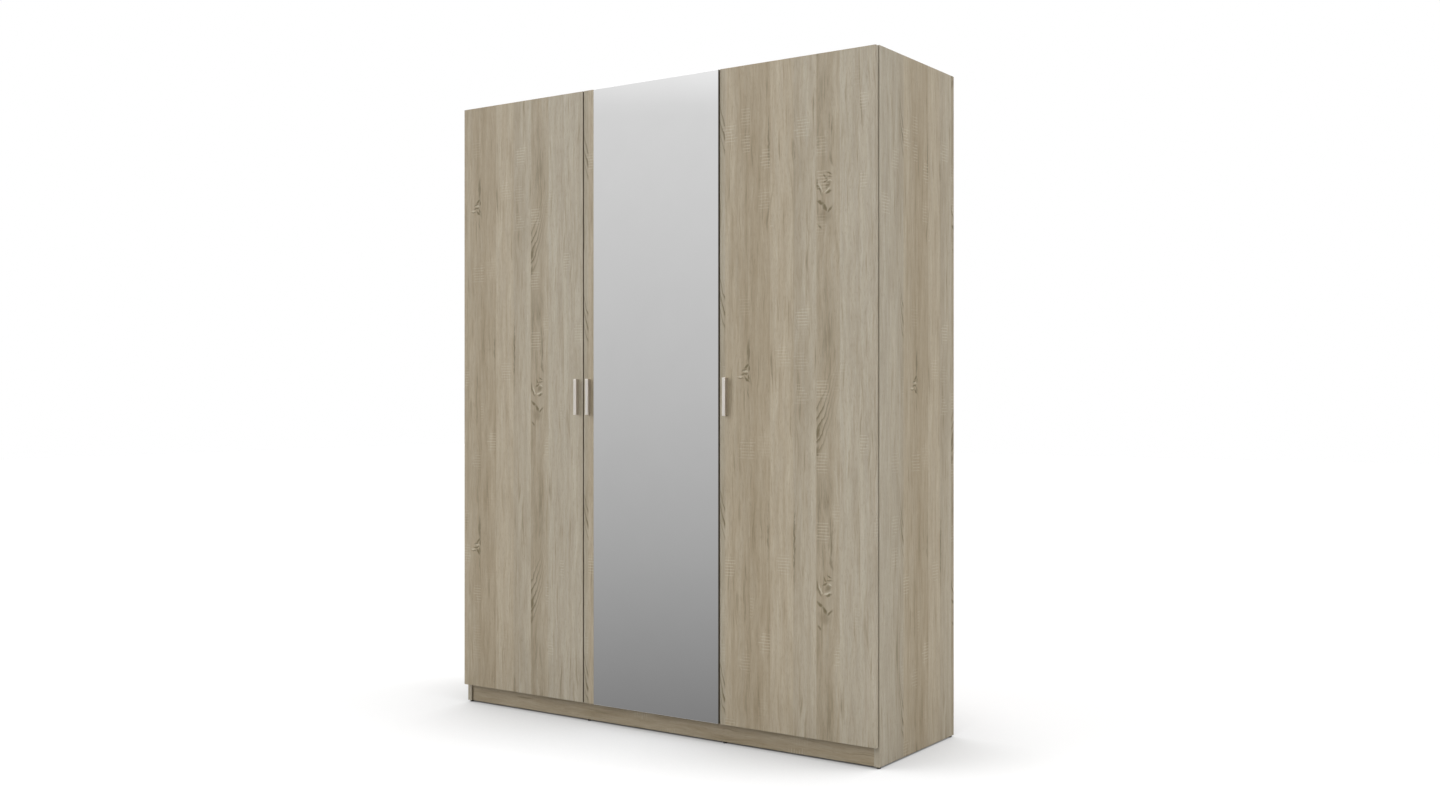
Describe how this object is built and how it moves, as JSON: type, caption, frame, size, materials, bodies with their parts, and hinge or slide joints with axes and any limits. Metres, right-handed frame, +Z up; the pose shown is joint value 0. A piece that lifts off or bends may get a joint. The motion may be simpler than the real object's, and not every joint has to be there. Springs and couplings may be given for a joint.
{
  "type": "wardrobe",
  "caption": "Free-standing wardrobe in oak decor with hinged overlay doors, a full-height mirror on the middle door, short bar handles and a recessed plinth.",
  "frame": {"origin": "on the floor, under the middle of the overall box, handles included", "axes": "+X to the right of someone facing the doors, +Y from the doors to the back, +Z up"},
  "size_m": [1.5, 0.487, 1.91],
  "materials": {
    "oak_decor": "satin printed oak decor with a light emboss",
    "back_board": "thin hardboard, white lacquer inside, bare brown behind",
    "mirror_glass": "silvered float glass with a ground arris",
    "satin_nickel": "satin nickel plate on a cast bar",
    "hinge_steel": "nickel plated pressed steel",
    "screw_zinc": "bright zinc plate",
    "cam_zinc": "bare zinc casting",
    "rail_chrome": "polished chrome plate",
    "dowel_beech": "turned beech",
    "glide_black": "moulded black plastic",
    "bumper_clear": "soft translucent pad"
  },
  "bodies": {
    "carcass": {"back_nails": "screw_zinc", "cam_bolts": "cam_zinc", "cam_locks": "cam_zinc", "door_bumpers": "bumper_clear", "floor_glides": "glide_black", "left_back_panel": "back_board", "left_bottom_board": "oak_decor", "left_hanging_rail": "rail_chrome", "left_hat_shelf": "oak_decor", "left_hinge_arms": "hinge_steel", "left_hinge_plates": "hinge_steel", "left_partition": "oak_decor", "left_plate_screws": "screw_zinc", "left_side_panel": "oak_decor", "middle_back_panel": "back_board", "middle_bottom_board": "oak_decor", "middle_hanging_rail": "rail_chrome", "middle_hat_shelf": "oak_decor", "middle_hinge_arms": "hinge_steel", "middle_hinge_plates": "hinge_steel", "middle_plate_screws": "screw_zinc", "plinth": "oak_decor", "rail_socket_screws": "screw_zinc", "rail_sockets": "rail_chrome", "right_back_panel": "back_board", "right_bottom_board": "oak_decor", "right_hinge_arms": "hinge_steel", "right_hinge_plates": "hinge_steel", "right_partition": "oak_decor", "right_plate_screws": "screw_zinc", "right_shelf_1": "oak_decor", "right_shelf_2": "oak_decor", "right_shelf_3": "oak_decor", "right_shelf_4": "oak_decor", "right_side_panel": "oak_decor", "shelf_pins": "screw_zinc", "top_panel": "oak_decor", "top_screws": "screw_zinc", "wall_bracket_screws": "screw_zinc", "wall_brackets": "screw_zinc", "wood_dowels": "dowel_beech"},
    "left_door": {"left_cup_screws": "screw_zinc", "left_door_panel": "oak_decor", "left_handle": "satin_nickel", "left_handle_screws": "screw_zinc", "left_hinge_cups": "hinge_steel", "left_hinge_pins": "hinge_steel"},
    "middle_door": {"middle_cup_screws": "screw_zinc", "middle_door_panel": "oak_decor", "middle_handle": "satin_nickel", "middle_handle_screws": "screw_zinc", "middle_hinge_cups": "hinge_steel", "middle_hinge_pins": "hinge_steel", "mirror": "mirror_glass"},
    "right_door": {"right_cup_screws": "screw_zinc", "right_door_panel": "oak_decor", "right_handle": "satin_nickel", "right_handle_screws": "screw_zinc", "right_hinge_cups": "hinge_steel", "right_hinge_pins": "hinge_steel"}
  },
  "joints": [
    {"name": "left_door_hinge", "type": "hinge", "parent": "carcass", "child": "left_door", "pos_m": [-0.7422, -0.2237, 0], "axis": [0, 0, -1], "range_deg": [0, 95]},
    {"name": "middle_door_hinge", "type": "hinge", "parent": "carcass", "child": "middle_door", "pos_m": [0.2412, -0.2237, 0], "axis": [0, 0, 1], "range_deg": [0, 90]},
    {"name": "right_door_hinge", "type": "hinge", "parent": "carcass", "child": "right_door", "pos_m": [0.7422, -0.2237, 0], "axis": [0, 0, 1], "range_deg": [0, 95]}
  ]
}
